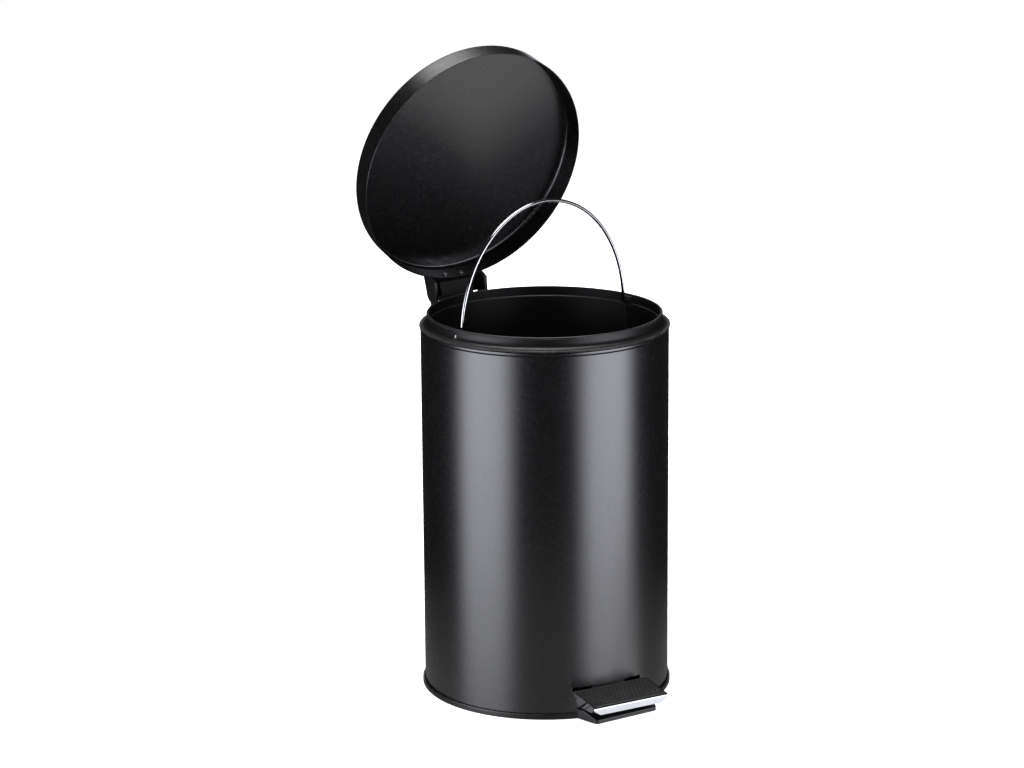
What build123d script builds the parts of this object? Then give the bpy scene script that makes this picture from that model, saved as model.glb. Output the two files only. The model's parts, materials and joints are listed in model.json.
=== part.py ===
"""Round pedal bin with a lift-out bucket, shown with its lid open and its bail up.

Millimetres.  The origin is the middle of the base on the floor, +Z is up, the pedal points to -Y and
the lid hinges on a pin at +Y.  Everything is built in the open pose: the lid is made closed and then
swung open about the hinge pin, and the lever is made level and then tipped about its fulcrum.
"""
from build123d import *
from math import asin, cos, degrees, pi, radians, sin
import os

os.makedirs("parts", exist_ok=True)

# ---- outer shell and base -------------------------------------------------------------------------
BODY_R = 125.0            # outside of the rolled steel shell
SHELL_T = 0.7
SHELL_FOOT_Z = 3.1        # lower edge of the steel, down in the base's groove
SHELL_TOP_Z = 374.6
BEAD_H = 2.6              # rolled top edge
RING_R = 127.4
RING_H = 5.6
FLOOR_Z = 3.0             # top of the moulded floor
FLOOR_RECESS = 1.0        # its underside stands this far off the ground between rim and middle pad
FOOT_FRONT_Y = -144.5     # front edge of the step-shaped foot under the pedal
FOOT_REAR_W, FOOT_FRONT_W = 86.0, 73.0
FOOT_REAR_H, FOOT_FRONT_H = 9.5, 4.0

# ---- lift-out bucket ------------------------------------------------------------------------------
BUCKET_TURN = 9.0         # the bucket has no key; it stands turned this far about Z
RIM_Z, RIM_R = 388.6, 118.8
NECK_R = 118.2
FLANGE_Z, FLANGE_T, FLANGE_R = 375.0, 1.8, 126.2
BUCKET_T = 1.7
BUCKET_FLOOR_Z, BUCKET_FLOOR_R = 56.0, 108.0

# ---- bail -----------------------------------------------------------------------------------------
BAIL_D = 3.6
BAIL_Z = 381.0            # height of the two pivot holes
BAIL_HOLE_D = 5.0
BAIL_HALF_W, BAIL_H = 110.0, 119.5
BAIL_END_X = 119.6

# ---- lid and hinge --------------------------------------------------------------------------------
HINGE_Y, HINGE_Z = 158.0, 359.0
LID_OPEN = 72.7           # degrees from closed
LID_MOUTH_Z = 377.4       # the mouth's edge with the lid closed
LID_MOUTH_R, LID_TOP_R = 127.7, 127.3
LID_SKIRT = 24.0
LID_DOME = 2.5
LID_FLAT_R = 3.0          # flat in the middle of the dome
LID_EDGE_R = 3.5
LID_T = 0.7
LID_HEM = 1.1             # thickness of the rolled hem; the bucket's flange clears it
HINGE_PIN_D = 5.0
FIT = 0.05                # radial clearance of a running fit
HOUSE_HALF_W = 28.5       # hinge housing
CHEEK_IN, CHEEK_OUT = 29.2, 32.2
HUB_HALF_W, HUB_R = 19.0, 7.0
LID_RIVET_X, LID_RIVET_UP = 10.0, 7.1

# ---- linkage --------------------------------------------------------------------------------------
CRANK = 20.0              # hinge pin to crank pin; it swings equally above and below level
CRANK_PIN_D = 3.0
CRANK_SWING = LID_OPEN / 2
STROKE = 2 * CRANK * sin(radians(CRANK_SWING))
ROD_D = 3.6
ROD_Y = 120.2             # the long run, between bucket and shell
ROD_LOW_Y = 112.0         # the foot of the rod, where the lever holds it
ROD_OUT_Y = HINGE_Y - CRANK * (1 + cos(radians(CRANK_SWING))) / 2
PEDAL_TURN = -3.3         # the pedal, its lever and slots stand turned this far about Z
FULCRUM_Y, FULCRUM_Z = -104.0, 26.5
FULCRUM_PIN_D = 5.0
LEVER_ARM = ROD_LOW_Y - FULCRUM_Y
LEVER_TIP = degrees(asin(STROKE / 2 / LEVER_ARM))     # either side of level
LEVER_HALF_W, LEVER_T = 11.0, 1.5

# ---- pedal ----------------------------------------------------------------------------------------
PAD_REAR_Y, PAD_REAR_Z = -127.6, 31.7
PAD_SLOPE = 7.4
PAD_LENGTH, PAD_HALF_W, PAD_T = 37.5, 40.2, 1.4
TRAY_HALF_W, TRAY_T = 43.0, 1.2
ARM_IN, ARM_OUT, ARM_T = 20.0, 38.0, 1.5
SLOT_MARGIN = 1.5
SLOT_Z = (27.6, 32.1)


def revolved(points):
    """A body of revolution about Z from an (r, z) outline; ("via", r, z) bends the step across it."""
    edges, start, via = [], None, None
    for point in [*points, points[0]]:
        if point[0] == "via":
            via = (point[1], 0, point[2])
            continue
        here = (point[0], 0, point[1])
        if via:
            edges.append(ThreePointArc(start, via, here))
        elif start:
            edges.append(Line(start, here))
        start, via = here, None
    return revolve(make_face(Wire(edges)), Axis.Z)


def corner_via(x, z, radius, x_sign, z_sign):
    """The middle of a quarter arc about (x, z)."""
    return ("via", x + x_sign * radius * cos(pi / 4), z + z_sign * radius * sin(pi / 4))


def side_plate(points, x_from, x_to):
    """A (y, z) outline given thickness from x_from to x_to."""
    face = make_face(Polyline(*[(x_from, y, z) for y, z in points], close=True))
    return extrude(face, amount=x_to - x_from, dir=(1, 0, 0))


def block(x, y, z):
    """A box from three (low, high) pairs."""
    size = [b - a for a, b in (x, y, z)]
    return Pos(*[(a + b) / 2 for a, b in (x, y, z)]) * Box(*size)


def rod_x(diameter, x_from, x_to, y, z):
    """A round bar along X."""
    return Pos((x_from + x_to) / 2, y, z) * Rot(0, 90, 0) * Cylinder(diameter / 2, x_to - x_from)


def tube(outer, inner, z_from, z_to):
    """A plain ring about Z."""
    height = z_to - z_from
    return Pos(0, 0, (z_from + z_to) / 2) * (Cylinder(outer, height) - Cylinder(inner, height))


def radial_bar(diameter, r_from, r_to, angle, z):
    """A round bar pointing straight out from the middle, at an angle about Z from +X."""
    return Rot(0, 0, angle) * rod_x(diameter, r_from, r_to, 0, z)


def about_x(shape, angle, y, z):
    """Turn a shape about a line along X through (y, z)."""
    return Pos(0, y, z) * Rot(angle, 0, 0) * Pos(0, -y, -z) * shape


def opened(shape):
    """Swing a part of the closed lid to the open pose."""
    return about_x(shape, -LID_OPEN, HINGE_Y, HINGE_Z)


def tipped(shape):
    """Tip a part of the level lever to its pose with the lid open: rear end up, pedal down."""
    return about_x(shape, LEVER_TIP, FULCRUM_Y, FULCRUM_Z)


def turned(shape):
    """Turn a part of the pedal and lever to where they stand in the base."""
    return Rot(0, 0, PEDAL_TURN) * shape


def mirrored(shape):
    """A shape and its copy on the other side of the middle plane."""
    return [shape, mirror(shape, Plane.YZ)]


# ===================================================================================================
# outer shell and base
# ===================================================================================================

def outer_shell():
    inner = BODY_R - SHELL_T
    bead = SHELL_TOP_Z - BEAD_H
    wall = revolved([
        (inner, SHELL_FOOT_Z), (BODY_R, SHELL_FOOT_Z), (BODY_R, bead - 1.6), (BODY_R - 0.5, bead - 0.8),
        (BODY_R, bead), (BODY_R, SHELL_TOP_Z - 0.7), (BODY_R - 0.7, SHELL_TOP_Z),
        (BODY_R - 1.9, SHELL_TOP_Z), (BODY_R - 2.6, SHELL_TOP_Z - 0.7), (BODY_R - 2.6, bead + 0.5),
        (inner - 0.4, bead - 0.8), (inner, bead - 1.6),
    ])
    for x in (-1, 1):
        low, high = sorted((x * (ARM_IN - SLOT_MARGIN), x * (ARM_OUT + SLOT_MARGIN)))
        wall -= turned(block((low, high), (-BODY_R - 2, -BODY_R * 0.8), SLOT_Z))
    rod_slot = block((-4, 4), (BODY_R - 4, BODY_R + 2), (314.0, 353.0))
    wall -= rod_slot
    for angle, z in housing_screw_places():
        wall -= radial_bar(3.1, BODY_R - 4, BODY_R + 2, angle, z)
    for z in GUIDE_Z:
        wall -= radial_bar(3.1, BODY_R - 4, BODY_R + 2, 90, z + 5)
    return wall


def foot_block():
    """The step in front of the ring: a low wedge that narrows and drops towards the front."""
    rear_y = -BODY_R * 0.93
    wedge = side_plate([(rear_y, 0), (rear_y, FOOT_REAR_H), (-BODY_R - 3, FOOT_REAR_H),
                        (FOOT_FRONT_Y, FOOT_FRONT_H), (FOOT_FRONT_Y, 0)],
                       -FOOT_REAR_W / 2, FOOT_REAR_W / 2)
    plan = make_face(Polyline((-FOOT_REAR_W / 2, rear_y), (-FOOT_FRONT_W / 2, FOOT_FRONT_Y),
                              (FOOT_FRONT_W / 2, FOOT_FRONT_Y), (FOOT_REAR_W / 2, rear_y), close=True))
    wedge &= extrude(plan, amount=20)
    wedge = fillet(wedge.edges().filter_by(Axis.Z).group_by(Axis.Y)[0], 3.5)
    top_edges = wedge.faces().sort_by(Axis.Z)[-2:].edges()
    front = [e for e in top_edges if e.center().Y < FOOT_FRONT_Y + 4]
    return fillet(front, 0.9)


def base():
    """Moulded base: the steel stands in its groove, the foot sticks out in front."""
    outer_lip = revolved([(BODY_R + FIT, 0), (RING_R - 0.6, 0), (RING_R, 0.6), (RING_R, RING_H - 1.2),
                          (RING_R - 0.5, RING_H), (BODY_R + 1.1, RING_H), (BODY_R + FIT, RING_H - 2.2)])
    inner_lip = tube(BODY_R - SHELL_T - FIT, BODY_R - 3.0, FLOOR_RECESS, 9.0)
    floor = Pos(0, 0, (FLOOR_RECESS + FLOOR_Z) / 2) * Cylinder(BODY_R + 0.5, FLOOR_Z - FLOOR_RECESS)
    rim = tube(BODY_R + 0.5, 112.0, 0, FLOOR_RECESS)
    middle = Pos(0, 0, FLOOR_RECESS / 2) * Cylinder(20.0, FLOOR_RECESS)
    foot = foot_block() - Cylinder(BODY_R + FIT, 60)
    moulding = outer_lip + inner_lip + floor + rim + middle + foot
    for x, y in bracket_rivet_places():
        moulding -= turned(Pos(x, y, 0) * Cylinder(1.6, 20))
    return moulding


def bracket_rivet_places():
    return [(x, FULCRUM_Y + dy) for x in (-20, 20) for dy in (-2, 8)]


def fulcrum_bracket():
    """A folded steel saddle that carries the lever's pin."""
    z = FLOOR_Z
    inner = LEVER_HALF_W + 0.6
    foot = block((-25, 25), (FULCRUM_Y - 11, FULCRUM_Y + 11), (z, z + 1.5))
    cheek = side_plate([(FULCRUM_Y - 9, z), (FULCRUM_Y + 9, z), (FULCRUM_Y + 6, FULCRUM_Z + 5),
                        (FULCRUM_Y - 6, FULCRUM_Z + 5)], inner, inner + 1.5)
    saddle = foot
    for side in mirrored(cheek):
        saddle += side
    saddle -= rod_x(FULCRUM_PIN_D, -20, 20, FULCRUM_Y, FULCRUM_Z)
    for x, y in bracket_rivet_places():
        saddle -= Pos(x, y, 0) * Cylinder(1.6, 20)
    return turned(saddle)


def bracket_rivets():
    low, top = FLOOR_RECESS, FLOOR_Z + 1.5
    shank = Pos(0, 0, (low - 0.7 + top) / 2) * Cylinder(1.6, top - low + 0.7)
    heads = Pos(0, 0, top) * Cylinder(3.0, 1.2, align=(Align.CENTER, Align.CENTER, Align.MIN))
    heads += Pos(0, 0, low) * Cylinder(3.0, 0.7, align=(Align.CENTER, Align.CENTER, Align.MAX))
    return [turned(Pos(x, y, 0) * (shank + heads)) for x, y in bracket_rivet_places()]


def fulcrum_pin():
    end = LEVER_HALF_W + 0.6 + 1.5
    pin = rod_x(FULCRUM_PIN_D, -end - 2, end, FULCRUM_Y, FULCRUM_Z)
    head = rod_x(8.5, end, end + 1.5, FULCRUM_Y, FULCRUM_Z)
    return turned(pin + head)


def fulcrum_clip():
    """Push-on washer on the pin's plain end."""
    end = LEVER_HALF_W + 0.6 + 1.5
    return turned(rod_x(9.0, -end - 1.0, -end, FULCRUM_Y, FULCRUM_Z)
                  - rod_x(FULCRUM_PIN_D, -end - 2, end, FULCRUM_Y, FULCRUM_Z))


GUIDE_Z = (112.0, 246.0)


def rod_guides():
    """Two moulded clips on the inside of the shell that keep the rod upright."""
    guides = []
    for z in GUIDE_Z:
        guide = block((-6, 6), (ROD_Y - 3.2, BODY_R), (z, z + 10))
        guide &= Pos(0, 0, z + 5) * Cylinder(BODY_R - SHELL_T, 10)
        guide -= Pos(0, ROD_Y, z + 5) * Cylinder(ROD_D / 2 + 0.1, 12)
        guide -= radial_bar(3.0, ROD_Y + 2.4, BODY_R + 2, 90, z + 5)
        guides.append(guide)
    return guides


def guide_rivets():
    rivets = []
    for z in GUIDE_Z:
        shank = radial_bar(3.0, ROD_Y + 2.4, BODY_R, 90, z + 5)
        rivets.append(shank + radial_bar(6.0, BODY_R, BODY_R + 0.9, 90, z + 5))
    return rivets


# ===================================================================================================
# hinge housing on the back of the shell
# ===================================================================================================

HOUSE_LOW, HOUSE_HIGH = 306.0, 368.0
EAR_HALF_W = 41.0
EAR_Z = (314.0, 362.0)


def housing_screw_places():
    """(angle about Z, height) of the four screws through the housing's ears."""
    spread = degrees(asin(35.5 / BODY_R))
    return [(90 + side * spread, z) for side in (-1, 1) for z in (EAR_Z[0] + 8, EAR_Z[1] - 8)]


def hinge_housing():
    """Moulded housing: two side walls carry the pin, and the rod comes up between them."""
    outline = [(BODY_R * 0.9, HOUSE_LOW), (BODY_R + 8, HOUSE_LOW), (HINGE_Y + 3, HOUSE_LOW + 20),
               (HINGE_Y + 9, HOUSE_LOW + 30), (HINGE_Y + 9, HINGE_Z + 1), (HINGE_Y + 4.5, HINGE_Z + 8.5),
               (HINGE_Y - 4, HINGE_Z + 9), (BODY_R * 0.9, HOUSE_HIGH)]
    house = side_plate(outline, -HOUSE_HALF_W, HOUSE_HALF_W)
    back_edges = house.edges().filter_by(Axis.X).group_by(Axis.Y)[-1]
    house = fillet(back_edges, 4.0)
    cavity = block((-23.5, 23.5), (BODY_R * 0.9, HINGE_Y + 6), (HOUSE_LOW + 22, HINGE_Z + 30))
    lower = side_plate([(BODY_R * 0.9, HOUSE_LOW + 3), (BODY_R + 7, HOUSE_LOW + 3),
                        (HINGE_Y, HOUSE_LOW + 22), (BODY_R * 0.9, HOUSE_LOW + 22)], -23.5, 23.5)
    back_notch = block((-23.5, 23.5), (HINGE_Y - 2, HINGE_Y + 20), (HINGE_Z - 10, HINGE_Z + 30))
    ears = tube(BODY_R + 3.0, BODY_R, *EAR_Z) & block((-EAR_HALF_W, EAR_HALF_W), (80, 140), EAR_Z)
    backing = tube(BODY_R + 3.0, BODY_R, HOUSE_LOW, HOUSE_HIGH)
    backing &= block((-HOUSE_HALF_W, HOUSE_HALF_W), (80, 140), (HOUSE_LOW, HOUSE_HIGH))
    house = house - cavity - lower - back_notch + backing + ears
    for x in (-1, 1):
        boss = rod_x(17.0, *sorted((x * (HUB_HALF_W + 0.6), x * HOUSE_HALF_W)), HINGE_Y, HINGE_Z)
        house += boss
    house -= Pos(0, 0, HINGE_Z) * Cylinder(BODY_R, 200)
    house -= block((-5, 5), (100, BODY_R + 5), (313.0, 354.0))
    house -= rod_x(HINGE_PIN_D, -50, 50, HINGE_Y, HINGE_Z)
    for angle, z in housing_screw_places():
        house -= radial_bar(3.0, BODY_R - 6, BODY_R + 12, angle, z)
    return house


def housing_screws():
    screws = []
    for angle, z in housing_screw_places():
        head = radial_bar(6.5, BODY_R + 3.0, BODY_R + 5.0, angle, z)
        recess = block((BODY_R + 4.0, BODY_R + 6), (-0.5, 0.5), (z - 2.2, z + 2.2))
        recess += block((BODY_R + 4.0, BODY_R + 6), (-2.2, 2.2), (z - 0.5, z + 0.5))
        head = head - Rot(0, 0, angle) * recess
        screws.append(head + radial_bar(3.0, BODY_R - 4.0, BODY_R + 3.0, angle, z))
    return screws


def hinge_pin():
    pin = rod_x(HINGE_PIN_D, -CHEEK_OUT - 3.0, CHEEK_OUT + 0.4, HINGE_Y, HINGE_Z)
    return pin + rod_x(9.0, CHEEK_OUT + 0.4, CHEEK_OUT + 2.2, HINGE_Y, HINGE_Z)


def hinge_pin_clip():
    """Spring washer on the pin's plain end."""
    washer = rod_x(9.5, -CHEEK_OUT - 1.6, -CHEEK_OUT - 0.4, HINGE_Y, HINGE_Z)
    return washer - rod_x(HINGE_PIN_D, -50, 50, HINGE_Y, HINGE_Z)


# ===================================================================================================
# lid
# ===================================================================================================

def lid_shell():
    """Pressed lid: slightly domed top, rounded edge, straight skirt and a rolled hem at the mouth."""
    top = LID_MOUTH_Z + LID_SKIRT
    edge_x, edge_z = LID_TOP_R - LID_EDGE_R, top - LID_EDGE_R
    inner_r = LID_EDGE_R - LID_T
    half = edge_x / 2

    def dome_point(r, below=0.0):
        return (r, top - below + LID_DOME * (1 - (r / edge_x) ** 2))

    shell = revolved([
        (LID_MOUTH_R - 0.3, LID_MOUTH_Z), (LID_MOUTH_R, LID_MOUTH_Z + 0.3), (LID_TOP_R, edge_z),
        corner_via(edge_x, edge_z, LID_EDGE_R, 1, 1), (edge_x, top),
        ("via", *dome_point(half)), dome_point(LID_FLAT_R), (0, dome_point(LID_FLAT_R)[1]),
        (0, dome_point(LID_FLAT_R)[1] - LID_T), dome_point(LID_FLAT_R, LID_T),
        ("via", *dome_point(half, LID_T)), (edge_x, top - LID_T),
        corner_via(edge_x, edge_z, inner_r, 1, 1), (edge_x + inner_r, edge_z),
        (LID_MOUTH_R - LID_T, LID_MOUTH_Z + 2.4), (LID_MOUTH_R - LID_HEM, LID_MOUTH_Z + 1.9),
        (LID_MOUTH_R - LID_HEM, LID_MOUTH_Z + 0.3), (LID_MOUTH_R - LID_HEM + 0.3, LID_MOUTH_Z),
    ])
    for angle in lid_rivet_angles():
        shell -= radial_bar(3.0, LID_TOP_R - 6, LID_MOUTH_R + 4, angle, LID_MOUTH_Z + LID_RIVET_UP)
    return opened(shell)


def lid_rivet_angles():
    spread = degrees(asin(LID_RIVET_X / LID_MOUTH_R))
    return (90 - spread, 90 + spread)


def lid_rivets():
    z = LID_MOUTH_Z + LID_RIVET_UP
    inside = LID_MOUTH_R - LID_T - 0.25
    rivets = []
    for angle in lid_rivet_angles():
        rivet = radial_bar(3.0, inside, LID_MOUTH_R + 3.6, angle, z)
        rivet += radial_bar(5.2, inside - 1.2, inside, angle, z)
        rivet = fillet(rivet.edges().filter_by(GeomType.CIRCLE).sort_by(Axis.Y)[0], 0.6)
        rivets.append(opened(rivet))
    return rivets


# Outlines of the bracket's cheeks and back wall, as (y, z) with the lid open.
BRACKET_CHEEK = [(157.5, 393.0), (166, 397), (181, 401), (172.5, 375.5), (166, 370), (165.5, 356.5),
                 (161.5, 352), (154.5, 352), (151, 356), (151, 364), (155.5, 374)]
BRACKET_BACK = [(177.5, 399), (181, 401), (172.5, 375.5), (170.2, 376)]


def shut_point(y, z):
    """Where a (y, z) point of the open lid lies with the lid closed."""
    c, s = cos(radians(LID_OPEN)), sin(radians(LID_OPEN))
    y, z = y - HINGE_Y, z - HINGE_Z
    return (HINGE_Y + y * c - z * s, HINGE_Z + y * s + z * c)


def lid_bracket():
    """Moulded arm: a curved pad on the skirt, cheeks and back wall, and a hub with the crank."""
    pad_low, pad_high = LID_MOUTH_Z + 1.5, LID_MOUTH_Z + 20.0
    pad = tube(LID_MOUTH_R + 3.6, LID_MOUTH_R + FIT, pad_low, pad_high)
    pad &= block((-CHEEK_OUT, CHEEK_OUT), (80, 140), (pad_low, pad_high))

    bracket = pad
    skirt = Pos(0, 0, LID_MOUTH_Z) * Cylinder(LID_MOUTH_R + FIT, 200)
    cheek = side_plate([shut_point(y, z) for y, z in BRACKET_CHEEK], CHEEK_IN, CHEEK_OUT)
    for side in mirrored(cheek - skirt):
        bracket += side
    back = side_plate([shut_point(y, z) for y, z in BRACKET_BACK], -CHEEK_OUT, CHEEK_OUT)
    bracket += back - skirt
    web = side_plate([(LID_MOUTH_R + 1, pad_low), (LID_MOUTH_R + 4, pad_low), (HINGE_Y - 6, HINGE_Z + 2),
                      (HINGE_Y - 1, HINGE_Z + 6.8), (LID_MOUTH_R + 6, pad_low + 7),
                      (LID_MOUTH_R + 1, pad_low + 7)], -HUB_HALF_W, HUB_HALF_W)
    bracket += web - Pos(0, 0, LID_MOUTH_Z) * Cylinder(LID_MOUTH_R + FIT, 200)
    for x in (-HUB_HALF_W, HUB_HALF_W - 3, -1.5):
        rib = side_plate([(LID_MOUTH_R + 1, pad_low + 4), (HINGE_Y - 4, HINGE_Z + 4),
                          (HINGE_Y + 3, HINGE_Z + 5), (LID_MOUTH_R + 8, pad_high - 3),
                          (LID_MOUTH_R + 1, pad_high - 3)], x, x + 3)
        bracket += rib - Pos(0, 0, LID_MOUTH_Z) * Cylinder(LID_MOUTH_R + FIT, 200)
    bracket += rod_x(2 * HUB_R, -HUB_HALF_W, HUB_HALF_W, HINGE_Y, HINGE_Z)
    closed = radians(-CRANK_SWING)
    pin_y, pin_z = HINGE_Y - CRANK * cos(closed), HINGE_Z + CRANK * sin(closed)
    lug = rod_x(8.0, 3.2, 7.2, pin_y, pin_z) + about_x(
        block((3.2, 7.2), (HINGE_Y - CRANK, HINGE_Y), (HINGE_Z - 4, HINGE_Z + 4)),
        -degrees(closed), HINGE_Y, HINGE_Z)
    for side in mirrored(lug):
        bracket += side
    bracket -= rod_x(HINGE_PIN_D + 2 * FIT, -50, 50, HINGE_Y, HINGE_Z)
    bracket -= rod_x(CRANK_PIN_D, -10, 10, pin_y, pin_z)
    for angle in lid_rivet_angles():
        bracket -= radial_bar(3.0, LID_TOP_R, LID_MOUTH_R + 3.6, angle, LID_MOUTH_Z + LID_RIVET_UP)
    return opened(bracket)


def crank_pin():
    y = HINGE_Y - CRANK * cos(radians(CRANK_SWING))
    z = HINGE_Z + CRANK * sin(radians(CRANK_SWING))
    return rod_x(CRANK_PIN_D, -8.6, 8.2, y, z) + rod_x(5.5, 7.2, 8.2, y, z)


# ===================================================================================================
# push rod
# ===================================================================================================

def push_rod():
    """One bent wire: a hook in the lever, the long run up inside the shell, and out to the crank."""
    low_z = FULCRUM_Z + STROKE / 2
    pin_z = HINGE_Z + STROKE / 2
    turn = radians(PEDAL_TURN)
    hook_x = 15.0 * cos(turn) - ROD_LOW_Y * sin(turn)
    hook_y = 15.0 * sin(turn) + ROD_LOW_Y * cos(turn)
    foot_y = ROD_LOW_Y / cos(turn)
    path = FilletPolyline((hook_x, hook_y, low_z), (0, foot_y, low_z), (0, foot_y, low_z + 19),
                          (0, ROD_Y, low_z + 34), (0, ROD_Y, pin_z - 25), (0, ROD_OUT_Y, pin_z - 19),
                          (0, ROD_OUT_Y, pin_z - 4), radius=3.5)
    wire = sweep(Plane(path @ 0, z_dir=path % 0) * Circle(ROD_D / 2), path)
    travel = CRANK * (1 - cos(radians(CRANK_SWING)))
    slot_w, slot_h = travel + CRANK_PIN_D + 1.2, CRANK_PIN_D + 1.3
    eye = block((-2, 2), (ROD_OUT_Y - slot_w / 2 - 2.4, ROD_OUT_Y + slot_w / 2 + 2.4),
                (pin_z - slot_h / 2 - 2.4, pin_z + slot_h / 2 + 2.4))
    eye = fillet(eye.edges().filter_by(Axis.X), 3.0)
    slot = block((-5, 5), (ROD_OUT_Y - slot_w / 2, ROD_OUT_Y + slot_w / 2),
                 (pin_z - slot_h / 2, pin_z + slot_h / 2))
    slot = fillet(slot.edges().filter_by(Axis.X), slot_h / 2 - 0.05)
    return wire + eye - slot


def rod_clip():
    """Push-on washer that keeps the rod's hook in the lever."""
    low_z = FULCRUM_Z + STROKE / 2
    washer = rod_x(8.0, LEVER_HALF_W + 0.5, LEVER_HALF_W + 1.5, ROD_LOW_Y, low_z)
    return turned(washer - rod_x(ROD_D, 0, 20, ROD_LOW_Y, low_z))


# ===================================================================================================
# pedal and lever
# ===================================================================================================

WEB_LOW = 1.0             # underside of the lever's web above the fulcrum pin's middle


def lever_rivet_places():
    return [(x, FULCRUM_Y + 20) for x in (-33, -25, 25, 33)]


def lever_bar():
    """Folded steel channel from the pedal's arms to the foot of the push rod."""
    web_top = FULCRUM_Z + WEB_LOW + LEVER_T
    web = block((-LEVER_HALF_W, LEVER_HALF_W), (FULCRUM_Y - 8, ROD_LOW_Y - 10), (web_top - LEVER_T, web_top))
    cross = block((-ARM_OUT, ARM_OUT), (FULCRUM_Y + 13, FULCRUM_Y + 28), (web_top - LEVER_T, web_top))
    flange = side_plate([(FULCRUM_Y - 8, web_top), (FULCRUM_Y - 7, FULCRUM_Z - 5),
                         (ROD_LOW_Y + 1, FULCRUM_Z - 4.2), (ROD_LOW_Y + 4, FULCRUM_Z - 2.5),
                         (ROD_LOW_Y + 4, FULCRUM_Z + 2.5), (ROD_LOW_Y - 6, web_top)],
                        LEVER_HALF_W - LEVER_T, LEVER_HALF_W)
    lever = web + cross
    for side in mirrored(flange):
        lever += side
    lever -= rod_x(FULCRUM_PIN_D + 2 * FIT, -20, 20, FULCRUM_Y, FULCRUM_Z)
    lever -= rod_x(ROD_D + 1.0, 0, 20, ROD_LOW_Y, FULCRUM_Z)
    for x, y in lever_rivet_places():
        lever -= Pos(x, y, web_top) * Cylinder(1.5, 10)
    return turned(tipped(lever))


def lever_rivets():
    web_top = FULCRUM_Z + WEB_LOW + LEVER_T
    rivets = []
    for x, y in lever_rivet_places():
        shank = Pos(x, y, web_top) * Cylinder(1.5, LEVER_T + ARM_T)
        head = Pos(x, y, web_top + ARM_T + 0.5) * Cylinder(2.8, 1.0)
        tail = Pos(x, y, web_top - LEVER_T - 0.4) * Cylinder(2.5, 0.8)
        rivets.append(turned(tipped(shank + head + tail)))
    return rivets


def pad_point(along, above):
    """(y, z) of a point measured forwards from the pad's rear top edge and above its surface."""
    a = radians(PAD_SLOPE)
    return (PAD_REAR_Y - along * cos(a) - above * sin(a), PAD_REAR_Z - along * sin(a) + above * cos(a))


def pedal_tray():
    """Pressed tray: plate, front and side flanges turned down, and two flat arms stepped up."""
    low = -PAD_T
    profile = [pad_point(0, low), pad_point(PAD_LENGTH + 1.6, low), pad_point(PAD_LENGTH + 2.6, low - 7.6),
               pad_point(PAD_LENGTH + 1.4, low - 7.6), pad_point(PAD_LENGTH + 0.4, low - TRAY_T),
               pad_point(0, low - TRAY_T)]
    tray = side_plate(profile, -TRAY_HALF_W, TRAY_HALF_W)
    bend = [e for e in tray.edges().filter_by(Axis.X)
            if abs(e.center().Y - profile[1][0]) < 0.3 and abs(e.center().Z - profile[1][1]) < 0.3]
    tray = fillet(bend, 2.0)
    front_bottom = pad_point(PAD_LENGTH + 2.6, low - 7.6)[1]
    corner = make_face(Polyline((TRAY_HALF_W + 1, -180, front_bottom - 1),
                                (TRAY_HALF_W + 1, -180, front_bottom + 5.4),
                                (TRAY_HALF_W - 9.0, -180, front_bottom - 1), close=True))
    for side in mirrored(extrude(corner, amount=30, dir=(0, 1, 0))):
        tray -= side
    side_flange = side_plate([pad_point(0, low), pad_point(PAD_LENGTH - 1.5, low),
                              pad_point(PAD_LENGTH - 3, low - 6.5), pad_point(9, low - 10.5)],
                             TRAY_HALF_W - TRAY_T, TRAY_HALF_W)
    for side in mirrored(side_flange):
        tray += side
    arm = tipped(block((ARM_IN, ARM_OUT), (PAD_REAR_Y + 1.6, FULCRUM_Y + 27),
                       (FULCRUM_Z + WEB_LOW + LEVER_T, FULCRUM_Z + WEB_LOW + LEVER_T + ARM_T)))
    rear = arm.faces().sort_by(Axis.Y)[0]
    top_z, low_z = rear.bounding_box().max.Z, rear.bounding_box().min.Z
    riser = side_plate([pad_point(0, low), pad_point(0, low - TRAY_T),
                        (rear.center().Y + 0.5, low_z), (rear.center().Y + 0.5, top_z),
                        (rear.center().Y - 0.3, top_z)], ARM_IN, ARM_OUT)
    for side in mirrored(arm + riser):
        tray += side
    for x, y in lever_rivet_places():
        tray -= tipped(Pos(x, y, FULCRUM_Z + 5) * Cylinder(1.5, 8))
    return turned(tray)


def pedal_pad():
    """Moulded rubber pad with rows of low studs."""
    pad = side_plate([pad_point(0, 0), pad_point(PAD_LENGTH - 0.6, 0), pad_point(PAD_LENGTH, -0.8),
                      pad_point(PAD_LENGTH, -PAD_T), pad_point(0, -PAD_T)], -PAD_HALF_W, PAD_HALF_W)
    for row in range(6):
        columns = 17 - row % 2
        for column in range(columns):
            x = (column - (columns - 1) / 2) * 4.5
            y, z = pad_point(4.7 + row * 5.6, 0.1)
            pad += Pos(x, y, z) * Rot(PAD_SLOPE, 0, 0) * Cylinder(0.85, 0.9)
    return turned(pad)


# ===================================================================================================
# bucket and bail
# ===================================================================================================

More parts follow.
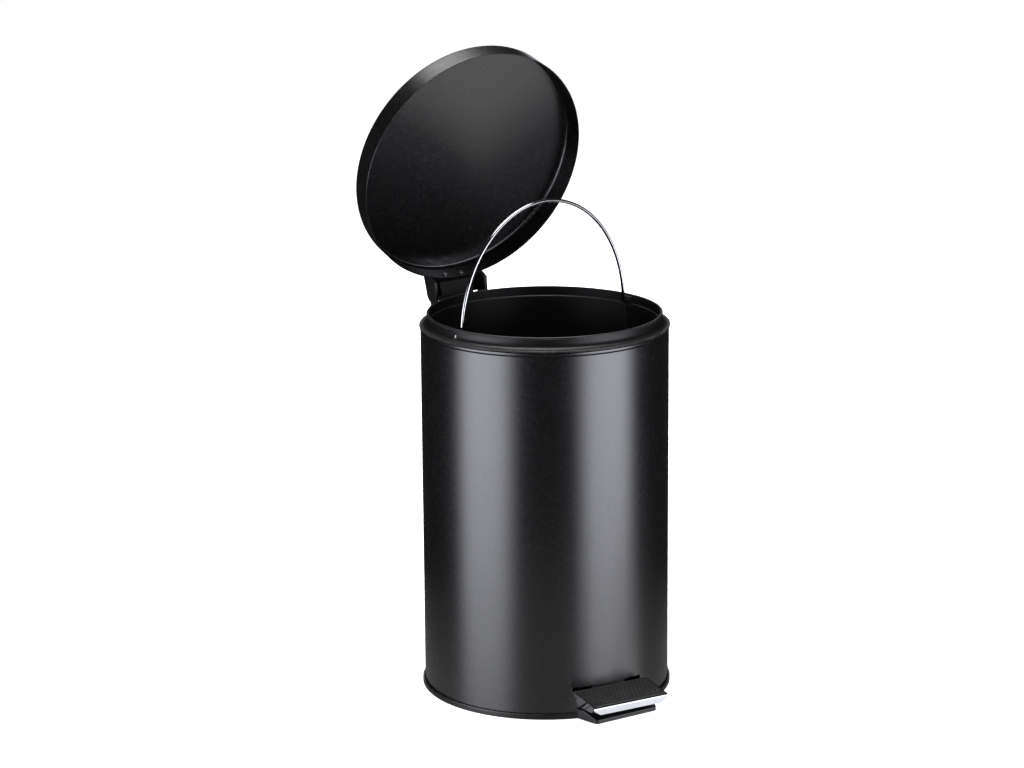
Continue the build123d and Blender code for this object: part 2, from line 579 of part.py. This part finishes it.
def bucket():
    """Moulded bucket: it hangs by its flange on the shell's rolled edge, with a neck above."""
    def wall_r(z):
        return BUCKET_FLOOR_R + (NECK_R - 0.4 - BUCKET_FLOOR_R) * (z - BUCKET_FLOOR_Z) / (
            FLANGE_Z - BUCKET_FLOOR_Z)

    cove_r = 6.2
    cove_x, cove_z = NECK_R + cove_r, FLANGE_Z + FLANGE_T + cove_r
    cove = [(cove_x, FLANGE_Z + FLANGE_T), corner_via(cove_x, cove_z, cove_r, -1, -1), (NECK_R, cove_z)]
    outline = [
        (0, BUCKET_FLOOR_Z), (BUCKET_FLOOR_R - 4, BUCKET_FLOOR_Z), (BUCKET_FLOOR_R, BUCKET_FLOOR_Z + 4),
        (wall_r(FLANGE_Z), FLANGE_Z), (FLANGE_R - 0.5, FLANGE_Z), (FLANGE_R, FLANGE_Z + 0.5),
        (FLANGE_R, FLANGE_Z + FLANGE_T - 0.5), (FLANGE_R - 0.5, FLANGE_Z + FLANGE_T),
        *cove,
        (NECK_R, RIM_Z - 2.0), (RIM_R, RIM_Z - 1.4), (RIM_R, RIM_Z - 0.9),
        corner_via(RIM_R - 0.9, RIM_Z - 0.9, 0.9, 1, 1), (RIM_R - 0.9, RIM_Z),
        (NECK_R - 1.3, RIM_Z), (NECK_R - BUCKET_T, RIM_Z - 0.8), (NECK_R - BUCKET_T, FLANGE_Z + 4.2),
        (NECK_R - BUCKET_T - 0.8, FLANGE_Z + 3.4),
        (BUCKET_FLOOR_R - BUCKET_T, BUCKET_FLOOR_Z + 5), (BUCKET_FLOOR_R - 5, BUCKET_FLOOR_Z + BUCKET_T),
        (0, BUCKET_FLOOR_Z + BUCKET_T),
    ]
    body = revolved(outline)
    wall = NECK_R - BUCKET_T
    for side in (0, 180):
        boss = make_face(Polyline((0, -5.5, BAIL_Z + 5), (0, 5.5, BAIL_Z + 5), (0, 4.0, BAIL_Z - 5),
                                  (0, -4.0, BAIL_Z - 5), close=True))
        boss = Pos(wall - 1.6, 0, 0) * extrude(boss, amount=2.4, dir=(1, 0, 0))
        rib = block((wall - 3.0, wall + 0.5), (-0.9, 0.9), (BAIL_Z - 34, BAIL_Z - 4.5))
        body += Rot(0, 0, side) * (boss + rib)
    body -= rod_x(BAIL_HOLE_D, -130, 130, 0, BAIL_Z)
    return Rot(0, 0, BUCKET_TURN) * body


def bail_handle():
    """Chromed wire: a tall half oval whose ends turn out into the bucket's two holes."""
    join = 4.0
    foot_x, foot_z = BAIL_HALF_W * cos(radians(join)), BAIL_H * sin(radians(join))
    bend_x = foot_x + 3.6
    slope = (-BAIL_HALF_W * sin(radians(join)), BAIL_H * cos(radians(join)))
    oval = EllipticalCenterArc((0, 0), BAIL_HALF_W, BAIL_H, start_angle=join, arc_size=180 - 2 * join)
    right = [Line((BAIL_END_X, 0), (bend_x, 0)),
             Spline((bend_x, 0), (foot_x, foot_z), tangents=((-1, 0), slope))]
    left = [Spline((-foot_x, foot_z), (-bend_x, 0), tangents=((slope[0], -slope[1]), (-1, 0))),
            Line((-bend_x, 0), (-BAIL_END_X, 0))]
    path = Plane.XZ * Wire([*right, oval, *left])
    start = Plane(path @ 0, z_dir=path % 0)
    wire = sweep(start * Circle(BAIL_D / 2), path)
    wire = fillet(wire.faces().filter_by(GeomType.PLANE).edges(), 1.3)
    return Rot(0, 0, BUCKET_TURN) * Pos(0, 0, BAIL_Z) * wire


SINGLES = (outer_shell, base, fulcrum_bracket, fulcrum_pin, fulcrum_clip,
           hinge_housing, hinge_pin, hinge_pin_clip, lid_shell, lid_bracket, crank_pin, push_rod,
           rod_clip, lever_bar, pedal_tray, pedal_pad, bucket, bail_handle)
GROUPS = (bracket_rivets, rod_guides, guide_rivets, housing_screws, lid_rivets, lever_rivets)

for make in SINGLES:
    shape = make()
    shape.label = make.__name__
    export_step(shape, f"parts/{make.__name__}.step")

for make in GROUPS:
    group = Compound(label=make.__name__, children=list(make()))
    export_step(group, f"parts/{make.__name__}.step")
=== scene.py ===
"""Pedal bin: satin black steel body and lid, plastic bucket, chrome bail and pedal."""
import json
from math import cos, radians, sin, tau

import bpy
from mathutils import Matrix, Vector


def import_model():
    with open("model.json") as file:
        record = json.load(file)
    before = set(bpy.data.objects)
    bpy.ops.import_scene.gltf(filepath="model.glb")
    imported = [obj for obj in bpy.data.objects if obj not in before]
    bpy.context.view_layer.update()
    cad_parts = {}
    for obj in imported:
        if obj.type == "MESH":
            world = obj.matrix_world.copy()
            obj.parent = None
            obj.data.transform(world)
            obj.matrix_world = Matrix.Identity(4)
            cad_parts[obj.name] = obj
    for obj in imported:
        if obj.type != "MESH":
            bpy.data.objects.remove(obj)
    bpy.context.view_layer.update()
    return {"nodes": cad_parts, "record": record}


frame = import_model()
NODES = frame["nodes"]

# Camera: the place, axes and focal length of the reference view, in metres and millimetres.
CAMERA_AT = (-1.6903, -2.5441, 1.0797)
CAMERA_RIGHT = Vector((0.83781, -0.54590, -0.00772))
CAMERA_UP = Vector((0.13918, 0.19988, 0.96988))
CAMERA_BACK = Vector((-0.52792, -0.81365, 0.24344))
LENS_MM, SENSOR_MM = 109.6, 36.0
CLIP_NEAR, CLIP_FAR = 0.1, 100

VIEW_AZIMUTH = -32.9

# Stage, in metres. An emission strength of 1 shows as the backdrop's white.
FLOOR_HALF, FLOOR_Z = 30, -0.0002
FLOOR_SHADE, FLOOR_ROUGHNESS, FLOOR_EMISSION = 0.82, 0.9, 0.95
WALL_RADIUS, WALL_LOW, WALL_HIGH, WALL_SIDES = 14, -0.1, 9, 48
WORLD_STRENGTH = 0.02

CARD_COLOUR = (0.97, 0.985, 1.07)                     # a little blue
CARD_FADE = {"X": 0.67, "Y": 0.79}
FRONT_CARD_SWING = 57                                 # degrees to each side of the camera
TOP_CARD_AT, TOP_CARD_HALF, TOP_CARD_STRENGTH = (0.1, 0.3, 2.2), 0.9, 12.0
TOP_CARD_FADE = {"X": 0.5, "Y": 0.5}

GLOW_AT, GLOW_RADIUS, GLOW_SIDES = (-0.12, -0.185, -0.001), 0.64, 64
GLOW_STRENGTH, GLOW_CORE = 0.23, 0.3                  # the core is a share of the radius

LID_RAY = (0.54, -0.56, -0.63)                        # from the lid's inside to the panel it mirrors
LID_PANEL_AT, LID_PANEL_ALONG = (0.97, -0.86, -0.60), (0.72, 0.69, 0)
LID_PANEL_FADE = {"X": 0.4, "Y": 0.4}
LID_FLAG_AT, LID_FLAG_ALONG = (0.251, 0.146, 0.272), (0.708, -0.105, 0.698)

WHITE = (1, 1, 1)
SQUARE = [(-1, -1, 0), (1, -1, 0), (1, 1, 0), (-1, 1, 0)]


# ---------------------------------------------------------------- node helpers

DUST = (0.16, 0.155, 0.145)


class Nodes:
    """A material's node tree, with short calls for the nodes used here."""

    def __init__(self, name):
        self.material = bpy.data.materials.new(name)
        self.material.use_nodes = True
        self.tree = self.material.node_tree
        self.tree.nodes.clear()
        self.output = self.add("ShaderNodeOutputMaterial")

    def add(self, kind, **values):
        node = self.tree.nodes.new(kind)
        for key, value in values.items():
            setattr(node, key, value)
        return node

    def link(self, source, target):
        self.tree.links.new(source, target)

    def put(self, value, socket):
        """Links an output to a socket, or sets the socket to a constant."""
        if isinstance(value, bpy.types.NodeSocket):
            self.link(value, socket)
        else:
            socket.default_value = value

    def put_colour(self, value, socket):
        """Links a colour output to a socket, or sets the socket to an (r, g, b)."""
        self.put(value if isinstance(value, bpy.types.NodeSocket) else (*value, 1), socket)

    def math(self, operation, a, b=0.0):
        node = self.add("ShaderNodeMath", operation=operation)
        for value, socket in zip((a, b), node.inputs):
            self.put(value, socket)
        return node.outputs[0]

    def position(self, scale=(1, 1, 1)):
        """The point in the piece's own rest frame, so patterns move with the piece."""
        coords = self.add("ShaderNodeTexCoord")
        if tuple(scale) == (1, 1, 1):
            return coords.outputs["Object"]
        mapping = self.add("ShaderNodeMapping")
        self.link(coords.outputs["Object"], mapping.inputs["Vector"])
        mapping.inputs["Scale"].default_value = scale
        return mapping.outputs[0]

    def noise(self, scale, detail, rough=0.5, stretch=(1, 1, 1)):
        node = self.add("ShaderNodeTexNoise")
        self.link(self.position(stretch), node.inputs["Vector"])
        node.inputs["Scale"].default_value = scale
        node.inputs["Detail"].default_value = detail
        node.inputs["Roughness"].default_value = rough
        return node.outputs["Fac"]

    def spread(self, value, low, high, start=0.3, end=0.7):
        """Maps value from start..end to low..high, clamped."""
        node = self.add("ShaderNodeMapRange")
        for socket, number in zip(node.inputs, (value, start, end, low, high)):
            self.put(number, socket)
        return node.outputs[0]

    def mottled(self, scale, detail, dark, light):
        """Noise between two colours."""
        node = self.add("ShaderNodeValToRGB")
        for element, place, colour in zip(node.color_ramp.elements, (0.3, 0.7), (dark, light)):
            element.position = place
            element.color = (*colour, 1)
        self.link(self.noise(scale, detail), node.inputs["Fac"])
        return node.outputs["Color"]

    def mix(self, factor, a, b):
        """Colour a at factor 0 and colour b at factor 1."""
        node = self.add("ShaderNodeMix", data_type="RGBA")
        self.put(factor, node.inputs["Factor"])
        self.put_colour(a, node.inputs[6])
        self.put_colour(b, node.inputs[7])
        return node.outputs[2]

    def bump(self, height, distance, strength, after=None):
        """A bumped normal, on top of the normal `after` if there is one."""
        node = self.add("ShaderNodeBump")
        self.put(height, node.inputs["Height"])
        node.inputs["Distance"].default_value = distance
        node.inputs["Strength"].default_value = strength
        if after is not None:
            self.link(after, node.inputs["Normal"])
        return node.outputs["Normal"]

    def rounded(self, radius):
        """The normal with edges rounded over that radius."""
        node = self.add("ShaderNodeBevel", samples=4)
        node.inputs["Radius"].default_value = radius
        return node.outputs["Normal"]

    def edge_wear_and_highlight(self, radius, start, end):
        """1 on rubbed edges and 0 on open faces, broken up by noise. On the bucket this mask also places
        a painted highlight along the edges.
        """
        geometry = self.add("ShaderNodeNewGeometry")
        dot = self.add("ShaderNodeVectorMath", operation="DOT_PRODUCT")
        self.link(self.rounded(radius), dot.inputs[0])
        self.link(geometry.outputs["Normal"], dot.inputs[1])
        bent = self.math("SUBTRACT", 1.0, dot.outputs["Value"])
        edge = self.spread(bent, 0.0, 1.0, start, end)
        patchy = self.spread(self.noise(45, 4), 0.3, 1.0, 0.40, 0.60)
        return self.math("MULTIPLY", edge, patchy)

    def facing_up(self, start=0.6, end=0.95):
        """1 on faces that look up and 0 on the others."""
        geometry = self.add("ShaderNodeNewGeometry")
        split = self.add("ShaderNodeSeparateXYZ")
        self.link(geometry.outputs["Normal"], split.inputs[0])
        return self.spread(split.outputs["Z"], 0.0, 1.0, start, end)

    def near_floor(self, height):
        """1 at the floor, falling to 0 at that height."""
        split = self.add("ShaderNodeSeparateXYZ")
        self.link(self.position(), split.inputs[0])
        return self.spread(split.outputs["Z"], 1.0, 0.0, 0.0, height)

    def rubbed_and_highlit(self, tone, wear_and_highlight, amount, bare):
        """The tone with a bare colour showing through, by at most that amount, where it is worn. On the
        bucket the same mix paints a highlight along the edges.
        """
        return self.mix(self.math("MULTIPLY", wear_and_highlight, amount), tone, bare)

    def dusty(self, tone, where, scale, amount, start, end):
        """The tone under patches of dust, at most that amount, where `where` is 1."""
        patches = self.spread(self.noise(scale, 5), 0.0, amount, start, end)
        return self.mix(self.math("MULTIPLY", where, patches), tone, DUST)

    def shader(self, colour, roughness, metallic=0.0, normal=None, **sockets):
        node = self.add("ShaderNodeBsdfPrincipled")
        self.put_colour(colour, node.inputs["Base Color"])
        self.put(roughness, node.inputs["Roughness"])
        node.inputs["Metallic"].default_value = metallic
        if normal is not None:
            self.link(normal, node.inputs["Normal"])
        for key, value in sockets.items():
            node.inputs[key.replace("_", " ")].default_value = value
        self.link(node.outputs[0], self.output.inputs["Surface"])
        return self.material


# ---------------------------------------------------------------- materials

def enamel():
    """Satin baked enamel on sheet steel: faint orange peel, soft smudges, rubbed edges."""
    n = Nodes("satin_enamel")
    tone = n.mottled(7, 4, (0.0009, 0.0009, 0.0012), (0.0017, 0.0016, 0.0020))
    wear_and_highlight = n.edge_wear_and_highlight(radius=0.0006, start=0.05, end=0.4)
    tone = n.rubbed_and_highlit(tone, wear_and_highlight, 0.6, (0.09, 0.09, 0.093))
    tone = n.dusty(tone, n.near_floor(0.07), 55, 0.015, 0.42, 0.72)
    smudge = n.spread(n.noise(4.5, 5, 0.55, (1, 1, 0.6)), 0.255, 0.295)
    fine = n.spread(n.noise(160, 3), -0.012, 0.012)
    rough = n.math("ADD", n.math("ADD", smudge, fine), n.math("MULTIPLY", wear_and_highlight, -0.06))
    peel = n.bump(n.noise(430, 2), distance=0.000006, strength=0.4)
    return n.shader(tone, rough, normal=peel, Specular_IOR_Level=1.0)


def moulding():
    """Black moulded polypropylene with a fine spark-eroded grain."""
    n = Nodes("moulded_black")
    tone = n.mottled(16, 4, (0.0016, 0.0016, 0.0019), (0.0030, 0.0029, 0.0033))
    wear_and_highlight = n.edge_wear_and_highlight(radius=0.0012, start=0.04, end=0.2)
    tone = n.rubbed_and_highlit(tone, wear_and_highlight, 0.8, (0.11, 0.11, 0.113))
    tone = n.dusty(tone, n.facing_up(), 60, 0.03, 0.4, 0.75)
    rough = n.spread(n.noise(22, 4), 0.33, 0.43)
    grain = n.bump(n.noise(2600, 2), distance=0.00003, strength=0.5, after=n.rounded(0.0005))
    return n.shader(tone, rough, normal=grain)


def bucket_plastic():
    """Black bucket: duller than the base, with a coarser grain and scuffs down the walls."""
    n = Nodes("bucket_plastic")
    tone = n.mottled(9, 4, (0.0012, 0.0012, 0.0015), (0.0024, 0.0023, 0.0027))
    # Painted highlight along the edges: a strong light grey so that they look lit, on top of a little
    # edge wear.
    wear_and_highlight = n.edge_wear_and_highlight(radius=0.0013, start=0.04, end=0.2)
    tone = n.rubbed_and_highlit(tone, wear_and_highlight, 0.9, (0.15, 0.15, 0.155))
    scuff = n.spread(n.noise(38, 4, 0.6, (1, 1, 0.08)), 0.0, 1.0, 0.55, 0.75)
    rough = n.math("ADD", n.spread(n.noise(12, 3), 0.38, 0.44), n.math("MULTIPLY", scuff, 0.06))
    grain = n.bump(n.noise(900, 2), distance=0.00002, strength=0.4, after=n.rounded(0.0005))
    return n.shader(tone, rough, normal=grain, Specular_IOR_Level=0.35)


def chrome():
    """Nickel-chrome plate with faint smudges and hairlines."""
    n = Nodes("chrome_plate")
    tone = n.mottled(35, 3, (0.44, 0.445, 0.45), (0.52, 0.525, 0.53))
    smudge = n.spread(n.noise(60, 5, 0.6), 0.03, 0.07, 0.35, 0.7)
    hair = n.spread(n.noise(700, 2, 0.5, (0.08, 1, 1)), 0.0, 0.015, 0.55, 0.7)
    ripple = n.bump(n.noise(140, 2), distance=0.00002, strength=0.5)
    return n.shader(tone, n.math("ADD", smudge, hair), metallic=1.0, normal=ripple)


def zinc():
    """Zinc-plated steel: grey, uneven, half matte."""
    n = Nodes("zinc_plate")
    tone = n.mottled(75, 4, (0.40, 0.41, 0.40), (0.58, 0.58, 0.56))
    wear_and_highlight = n.edge_wear_and_highlight(radius=0.0005, start=0.05, end=0.4)
    tone = n.rubbed_and_highlit(tone, wear_and_highlight, 0.6, (0.72, 0.72, 0.71))
    rough = n.spread(n.noise(110, 4, 0.6), 0.26, 0.44)
    uneven = n.bump(n.noise(520, 3), distance=0.00002, strength=0.5, after=n.rounded(0.0003))
    return n.shader(tone, rough, metallic=1.0, normal=uneven)


def stud_tops(n):
    """1 on the tops of the pad's studs, which stand above its plate, and 0 elsewhere: where the rubber
    gets a painted highlight.
    """
    mesh = NODES["pedal_pad"].data
    plate = max(mesh.polygons, key=lambda face: face.area if face.normal.z > 0.9 else 0)
    along = n.add("ShaderNodeVectorMath", operation="DOT_PRODUCT")
    n.link(n.position(), along.inputs[0])
    along.inputs[1].default_value = plate.normal
    level = plate.center.dot(plate.normal)
    highlight_starts, highlight_full = level + 0.0003, level + 0.00045
    return n.spread(along.outputs["Value"], 0.0, 1.0, highlight_starts, highlight_full)


def rubber():
    """Matte rubber pad, with the stud tops painted greyer as a highlight."""
    n = Nodes("pad_rubber")
    tone = n.mottled(48, 4, (0.004, 0.004, 0.0045), (0.008, 0.008, 0.0085))
    wear_and_highlight = n.edge_wear_and_highlight(radius=0.0005, start=0.05, end=0.4)
    tone = n.rubbed_and_highlit(tone, wear_and_highlight, 0.7, (0.11, 0.11, 0.11))
    # Painted highlight: the stud tops are painted a lighter grey so that they look lit.
    tone = n.mix(stud_tops(n), tone, (0.075, 0.075, 0.078))
    tone = n.dusty(tone, n.facing_up(0.7, 0.98), 90, 0.04, 0.4, 0.7)
    rough = n.spread(n.noise(70, 4), 0.52, 0.68)
    grain = n.bump(n.noise(1700, 3), distance=0.00004, strength=0.6, after=n.rounded(0.0004))
    return n.shader(tone, rough, normal=grain)


BY_SLOT = {"satin_black_steel": enamel(), "black_moulding": moulding(), "bucket_black": bucket_plastic(),
           "chrome": chrome(), "zinc_steel": zinc(), "pad_rubber": rubber()}
for part in frame["record"]["subparts"]:
    node = NODES[part["node"]]
    node.data.materials.clear()
    node.data.materials.append(BY_SLOT[part["material_slot"]])


# ---------------------------------------------------------------- stage

def emitter(name, colour, strength, fade=None):
    """A light-giving material. For each axis of a sheet that reaches from -1 to 1, fade gives the
    distance from the edge over which the light dies away."""
    n = Nodes(name)
    glow = n.add("ShaderNodeEmission")
    glow.inputs["Color"].default_value = (*colour, 1)
    level = strength
    if fade:
        split = n.add("ShaderNodeSeparateXYZ")
        n.link(n.position(), split.inputs[0])
        for axis, width in fade.items():
            away = n.math("ABSOLUTE", split.outputs[axis])
            edge = n.add("ShaderNodeMapRange", interpolation_type="SMOOTHSTEP")
            for socket, number in zip(edge.inputs, (away, 1.0, 1.0 - width, 0.0, 1.0)):
                n.put(number, socket)
            level = n.math("MULTIPLY", edge.outputs[0], level)
    n.put(level, glow.inputs["Strength"])
    n.link(glow.outputs[0], n.output.inputs["Surface"])
    return n.material


def glow_material():
    """What the enamel mirrors of the bright floor near the bin: full in the core, gone at the rim."""
    n = Nodes("floor_glow")
    length = n.add("ShaderNodeVectorMath", operation="LENGTH")
    n.link(n.position(), length.inputs[0])
    level = n.spread(length.outputs["Value"], GLOW_STRENGTH, 0.0, GLOW_CORE, 1.0)
    glow = n.add("ShaderNodeEmission")
    n.link(level, glow.inputs["Strength"])
    both = n.add("ShaderNodeAddShader")
    n.link(glow.outputs[0], both.inputs[0])
    n.link(n.add("ShaderNodeBsdfTransparent").outputs[0], both.inputs[1])
    n.link(both.outputs[0], n.output.inputs["Surface"])
    return n.material


def ring(sides):
    """The (x, y) corners of a regular polygon of radius 1."""
    return [(cos(tau * i / sides), sin(tau * i / sides)) for i in range(sides)]


def sheet_object(name, corners, material):
    """A stage object with one flat face."""
    mesh = bpy.data.meshes.new(name)
    mesh.from_pydata(corners, [], [tuple(range(len(corners)))])
    mesh.materials.append(material)
    thing = bpy.data.objects.new(name, mesh)
    bpy.context.scene.collection.objects.link(thing)
    return thing


def place(thing, centre, x_axis, y_axis, z_axis):
    """Puts an object's origin at the centre and its own axes along these, at their lengths."""
    turn = Matrix((x_axis, y_axis, z_axis)).transposed().to_4x4()
    turn.translation = centre
    thing.matrix_world = turn


def lay(thing, centre, half_size):
    """Puts a sheet level at the centre, at that half size."""
    thing.matrix_world = Matrix.Translation(centre) @ Matrix.Diagonal((half_size, half_size, 1, 1))


def hide(thing, *rays):
    """Hides an object from these kinds of ray: camera, diffuse, glossy or shadow."""
    for ray in rays:
        setattr(thing, "visible_" + ray, False)


def card(name, azimuth, distance, centre_z, half_width, half_height, strength):
    """An upright soft light, square to the line from the bin."""
    a = radians(azimuth)
    outward, side = Vector((sin(a), -cos(a), 0)), Vector((cos(a), sin(a), 0))
    thing = sheet_object(name, SQUARE, emitter(name, CARD_COLOUR, strength, CARD_FADE))
    place(thing, outward * distance + Vector((0, 0, centre_z)),
          side * half_width, Vector((0, 0, half_height)), outward)
    hide(thing, "camera", "shadow")


def panel(name, centre, along, half_along, half_across, strength, fade=None):
    """A sheet square to LID_RAY that only mirrors see: a light, or a black flag at strength 0."""
    along, normal = Vector(along).normalized(), Vector(LID_RAY).normalized()
    thing = sheet_object(name, SQUARE, emitter(name, WHITE, strength, fade))
    place(thing, centre, along * half_along, normal.cross(along) * half_across, normal)
    hide(thing, "camera", "diffuse", "shadow")


def floor():
    shade = Nodes("studio_floor").shader((FLOOR_SHADE,) * 3, FLOOR_ROUGHNESS,
                                         Emission_Color=(1, 1, 1, 1), Emission_Strength=FLOOR_EMISSION)
    corners = [(x * FLOOR_HALF, y * FLOOR_HALF, FLOOR_Z) for x, y, _ in SQUARE]
    hide(sheet_object("studio_floor", corners, shade), "glossy", "shadow")


def wall():
    """A white cylinder round the stage, which only the camera sees."""
    foot = [(x * WALL_RADIUS, y * WALL_RADIUS) for x, y in ring(WALL_SIDES)]
    verts = [(x, y, z) for z in (WALL_LOW, WALL_HIGH) for x, y in foot]
    follows = [(i, (i + 1) % WALL_SIDES) for i in range(WALL_SIDES)]
    mesh = bpy.data.meshes.new("studio_wall")
    mesh.from_pydata(verts, [], [(i, j, WALL_SIDES + j, WALL_SIDES + i) for i, j in follows])
    mesh.materials.append(emitter("studio_wall", WHITE, 1.0))
    backdrop = bpy.data.objects.new("studio_wall", mesh)
    bpy.context.scene.collection.objects.link(backdrop)
    hide(backdrop, "diffuse", "glossy", "shadow")


def lights():
    disc = sheet_object("floor_glow", [(x, y, 0) for x, y in ring(GLOW_SIDES)], glow_material())
    lay(disc, GLOW_AT, GLOW_RADIUS)
    hide(disc, "camera", "diffuse", "shadow")

    card("card_left", VIEW_AZIMUTH - FRONT_CARD_SWING, 1.5, 0.20, 1.0, 0.95, 4.4)
    card("card_right", VIEW_AZIMUTH + FRONT_CARD_SWING, 1.5, 0.20, 0.98, 0.95, 4.4)
    card("card_back", VIEW_AZIMUTH + 180, 1.9, 0.25, 0.40, 0.62, 4.0)
    # What the inside of the open lid mirrors: a soft panel low on the right, half hidden by a flag.
    panel("lid_panel", LID_PANEL_AT, LID_PANEL_ALONG, 0.42, 0.32, 1.1, LID_PANEL_FADE)
    panel("lid_flag", LID_FLAG_AT, LID_FLAG_ALONG, 0.30, 0.20, 0.0)
    top = sheet_object("card_top", SQUARE, emitter("card_top", WHITE, TOP_CARD_STRENGTH, TOP_CARD_FADE))
    lay(top, TOP_CARD_AT, TOP_CARD_HALF)
    hide(top, "camera", "shadow")


def world():
    surroundings = bpy.data.worlds.new("studio")
    surroundings.use_nodes = True
    background = surroundings.node_tree.nodes["Background"]
    background.inputs["Color"].default_value = (1, 1, 1, 1)
    background.inputs["Strength"].default_value = WORLD_STRENGTH
    scene = bpy.context.scene
    scene.world = surroundings
    scene.view_settings.view_transform = "Standard"
    scene.view_settings.look = "None"


def camera():
    data = bpy.data.cameras.new("camera")
    data.lens, data.sensor_width, data.sensor_fit = LENS_MM, SENSOR_MM, "HORIZONTAL"
    data.clip_start, data.clip_end = CLIP_NEAR, CLIP_FAR
    thing = bpy.data.objects.new("camera", data)
    place(thing, CAMERA_AT, CAMERA_RIGHT, CAMERA_UP, CAMERA_BACK)
    bpy.context.scene.collection.objects.link(thing)
    bpy.context.scene.camera = thing


floor()
wall()
lights()
world()
camera()
